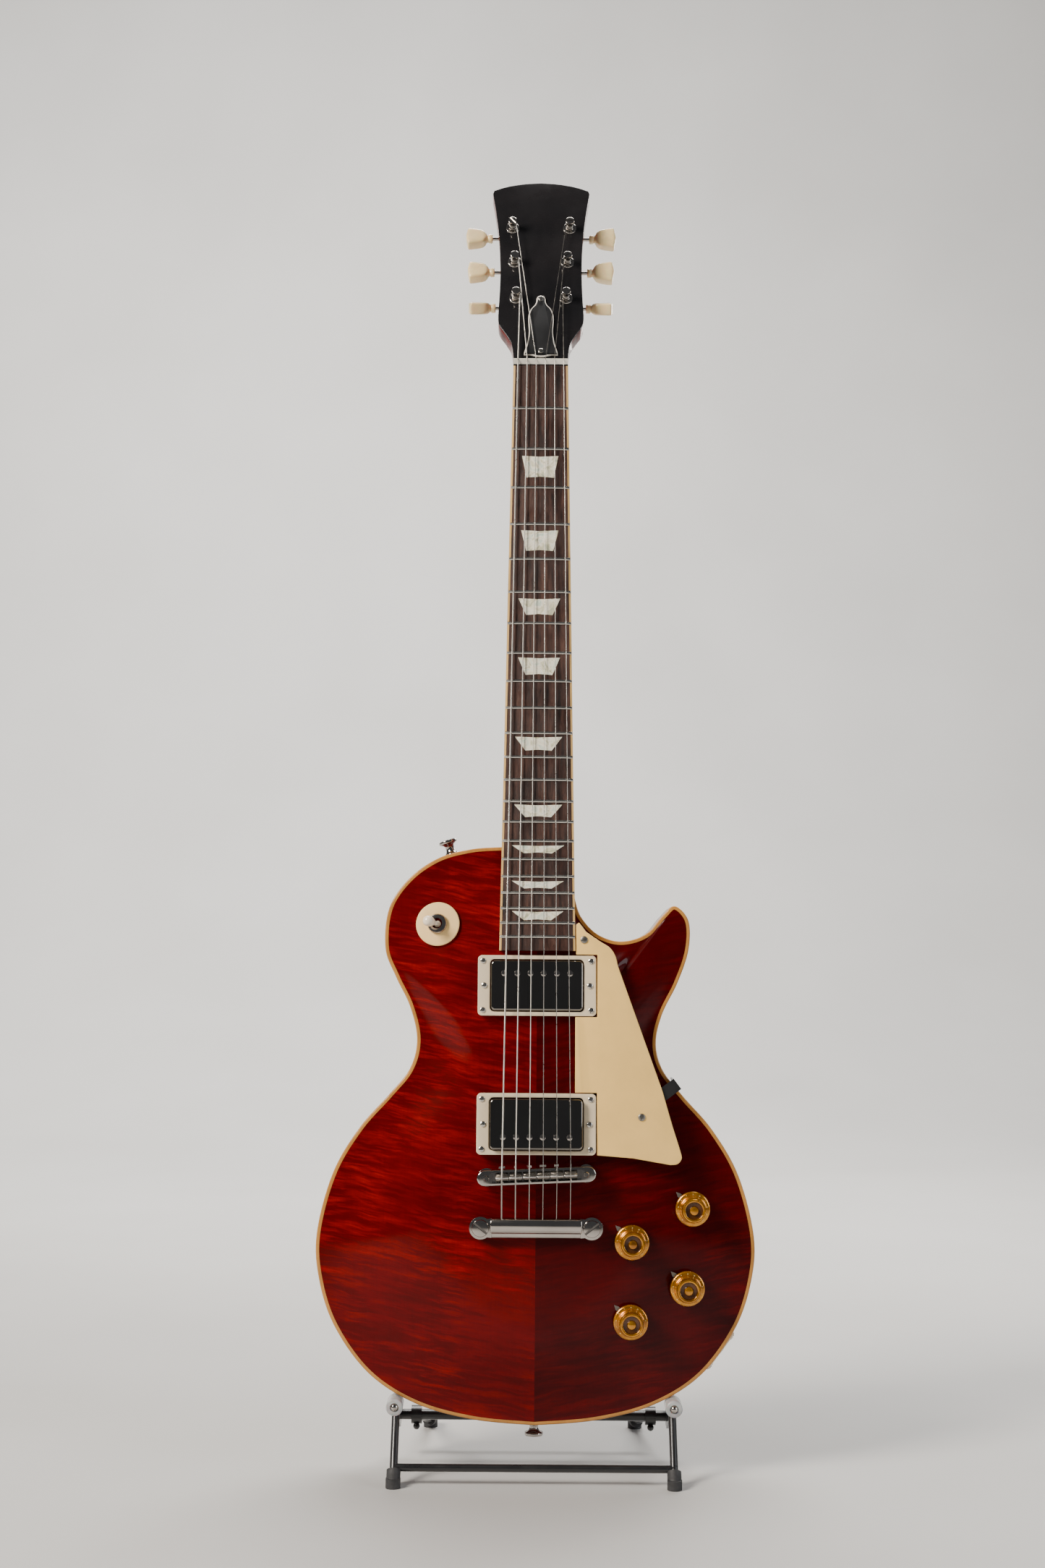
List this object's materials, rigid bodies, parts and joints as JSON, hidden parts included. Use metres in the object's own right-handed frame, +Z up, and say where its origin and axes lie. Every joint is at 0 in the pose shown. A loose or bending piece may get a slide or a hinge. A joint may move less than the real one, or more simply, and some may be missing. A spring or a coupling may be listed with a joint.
{
  "type": "electric guitar on stand",
  "caption": "Single-cutaway solid-body electric guitar with a carved red maple top, resting upright on a small folding rod stand.",
  "frame": {"origin": "centre of the object's bounding box, on the floor plane under the stand's feet", "axes": "+Z up along the neck, -Y towards the player's view of the strings, +X to the treble side"},
  "size_m": [0.3292, 0.1878, 1.018],
  "materials": {
    "stand_steel": "gloss black enamel on round steel rod",
    "clear_sleeve": "milky clear vinyl",
    "stand_rubber": "matte black rubber",
    "mahogany": "cherry-stained mahogany under gloss lacquer",
    "maple": "flamed maple, translucent cherry under gloss lacquer",
    "binding": "aged cream celluloid under lacquer",
    "black_lacquer": "deep black gloss lacquer",
    "rosewood": "oiled dark rosewood",
    "fret_wire": "polished nickel silver",
    "pearl": "swirled pearloid",
    "nut_white": "polished synthetic bone",
    "nickel": "polished nickel plate",
    "steel": "plain steel",
    "string_steel": "nickel-wound and plain steel strings",
    "cream_plastic": "moulded cream plastic",
    "guard_cream": "single-ply cream sheet",
    "black_plastic": "moulded black plastic",
    "gold_knob": "clear knob over gold paint",
    "button_cream": "aged keystone buttons",
    "pot_metal": "dull nickel cans"
  },
  "bodies": {
    "stand_front": {"front_frame": "stand_steel", "front_crossbar": "stand_steel", "hinge_bar": "stand_steel", "arm_sleeves": "clear_sleeve", "front_feet": "stand_rubber"},
    "stand_rear": {"rear_frame": "stand_steel", "back_rest_pad": "stand_rubber", "rear_feet": "stand_rubber"},
    "guitar": {"body_back": "mahogany", "cap_bass_half": "maple", "cap_treble_half": "maple", "body_binding": "binding", "neck": "mahogany", "headstock_veneer": "black_lacquer", "fingerboard": "rosewood", "fingerboard_binding": "binding", "frets": "fret_wire", "inlays": "pearl", "nut": "nut_white", "truss_rod": "steel", "truss_rod_cover": "black_plastic", "small_screws": "nickel", "tuner_housings": "nickel", "tuner_bushings": "nickel", "strings": "string_steel", "pickup_rings": "cream_plastic", "pickup_covers": "nickel", "pickup_cores": "black_plastic", "pole_screws": "nickel", "bridge_bar": "nickel", "saddles": "nickel", "bridge_and_tail_studs": "nickel", "tailpiece": "nickel", "pickguard": "guard_cream", "pickguard_bracket": "black_lacquer", "switch_washer": "cream_plastic", "switch_body": "pot_metal", "pots": "pot_metal", "knob_pointers": "nickel", "output_jack": "nickel", "jack_plate": "cream_plastic", "back_covers": "black_plastic", "strap_buttons": "nickel"},
    "switch_lever": {"switch_lever": "cream_plastic"},
    "knob_neck_volume": {"knob_neck_volume": "gold_knob"},
    "knob_neck_tone": {"knob_neck_tone": "gold_knob"},
    "knob_bridge_volume": {"knob_bridge_volume": "gold_knob"},
    "knob_bridge_tone": {"knob_bridge_tone": "gold_knob"},
    "tuner_button_1": {"tuner_button_1": "button_cream"},
    "tuner_button_2": {"tuner_button_2": "button_cream"},
    "tuner_button_3": {"tuner_button_3": "button_cream"},
    "tuner_button_4": {"tuner_button_4": "button_cream"},
    "tuner_button_5": {"tuner_button_5": "button_cream"},
    "tuner_button_6": {"tuner_button_6": "button_cream"},
    "tuner_post_1": {"tuner_post_1": "nickel"},
    "tuner_post_2": {"tuner_post_2": "nickel"},
    "tuner_post_3": {"tuner_post_3": "nickel"},
    "tuner_post_4": {"tuner_post_4": "nickel"},
    "tuner_post_5": {"tuner_post_5": "nickel"},
    "tuner_post_6": {"tuner_post_6": "nickel"}
  },
  "joints": [
    {"name": "stand_fold", "type": "hinge", "parent": "stand_front", "child": "stand_rear", "pos_m": [0, -0.0057, 0.033], "axis": [-1, 0, 0], "range_deg": [0, 70]},
    {"name": "guitar_lift", "type": "slide", "parent": "stand_front", "child": "guitar", "axis": [0, 0.0523, 0.9986], "range_m": [0, 0.25]},
    {"name": "knob_neck_volume_turn", "type": "hinge", "parent": "guitar", "child": "knob_neck_volume", "pos_m": [0.1173, -0.06607, 0.20104], "axis": [0, -0.9986, 0.0523], "range_deg": [0, 270]},
    {"name": "knob_neck_tone_turn", "type": "hinge", "parent": "guitar", "child": "knob_neck_tone", "pos_m": [0.1133, -0.07012, 0.14287], "axis": [0, -0.9986, 0.0523], "range_deg": [0, 270]},
    {"name": "knob_bridge_volume_turn", "type": "hinge", "parent": "guitar", "child": "knob_bridge_volume", "pos_m": [0.0718, -0.07224, 0.17693], "axis": [0, -0.9986, 0.0523], "range_deg": [0, 270]},
    {"name": "knob_bridge_tone_turn", "type": "hinge", "parent": "guitar", "child": "knob_bridge_tone", "pos_m": [0.071, -0.07459, 0.11867], "axis": [0, -0.9986, 0.0523], "range_deg": [0, 270]},
    {"name": "switch_throw", "type": "hinge", "parent": "guitar", "child": "switch_lever", "pos_m": [-0.07544, -0.05271, 0.41176], "axis": [0.0183, 0.1775, 0.984], "range_deg": [0, 34]},
    {"name": "tuner_button_1_turn", "type": "hinge", "parent": "guitar", "child": "tuner_button_1", "pos_m": [-0.05, 0.04031, 0.90589], "axis": [-1, 0, 0], "continuous": true},
    {"name": "tuner_post_1_turn", "type": "hinge", "parent": "guitar", "child": "tuner_post_1", "pos_m": [-0.02, 0.02067, 0.90931], "axis": [0, -0.9107, 0.4131], "continuous": true},
    {"name": "tuner_button_2_turn", "type": "hinge", "parent": "guitar", "child": "tuner_button_2", "pos_m": [-0.0513, 0.05539, 0.93913], "axis": [-1, 0, 0], "continuous": true},
    {"name": "tuner_post_2_turn", "type": "hinge", "parent": "guitar", "child": "tuner_post_2", "pos_m": [-0.0213, 0.03575, 0.94255], "axis": [0, -0.9107, 0.4131], "continuous": true},
    {"name": "tuner_button_3_turn", "type": "hinge", "parent": "guitar", "child": "tuner_button_3", "pos_m": [-0.0532, 0.06989, 0.97109], "axis": [-1, 0, 0], "continuous": true},
    {"name": "tuner_post_3_turn", "type": "hinge", "parent": "guitar", "child": "tuner_post_3", "pos_m": [-0.0232, 0.05025, 0.97451], "axis": [0, -0.9107, 0.4131], "continuous": true},
    {"name": "tuner_button_4_turn", "type": "hinge", "parent": "guitar", "child": "tuner_button_4", "pos_m": [0.0532, 0.06989, 0.97109], "axis": [1, 0, 0], "continuous": true},
    {"name": "tuner_post_4_turn", "type": "hinge", "parent": "guitar", "child": "tuner_post_4", "pos_m": [0.0232, 0.05025, 0.97451], "axis": [0, -0.9107, 0.4131], "continuous": true},
    {"name": "tuner_button_5_turn", "type": "hinge", "parent": "guitar", "child": "tuner_button_5", "pos_m": [0.0513, 0.05539, 0.93913], "axis": [1, 0, 0], "continuous": true},
    {"name": "tuner_post_5_turn", "type": "hinge", "parent": "guitar", "child": "tuner_post_5", "pos_m": [0.0213, 0.03575, 0.94255], "axis": [0, -0.9107, 0.4131], "continuous": true},
    {"name": "tuner_button_6_turn", "type": "hinge", "parent": "guitar", "child": "tuner_button_6", "pos_m": [0.05, 0.04031, 0.90589], "axis": [1, 0, 0], "continuous": true},
    {"name": "tuner_post_6_turn", "type": "hinge", "parent": "guitar", "child": "tuner_post_6", "pos_m": [0.02, 0.02067, 0.90931], "axis": [0, -0.9107, 0.4131], "continuous": true}
  ],
  "couplings": [
    {"joint": "tuner_post_1_turn", "follows": "tuner_button_1_turn", "ratio": -0.071429},
    {"joint": "tuner_post_2_turn", "follows": "tuner_button_2_turn", "ratio": -0.071429},
    {"joint": "tuner_post_3_turn", "follows": "tuner_button_3_turn", "ratio": -0.071429},
    {"joint": "tuner_post_4_turn", "follows": "tuner_button_4_turn", "ratio": 0.071429},
    {"joint": "tuner_post_5_turn", "follows": "tuner_button_5_turn", "ratio": 0.071429},
    {"joint": "tuner_post_6_turn", "follows": "tuner_button_6_turn", "ratio": 0.071429}
  ]
}
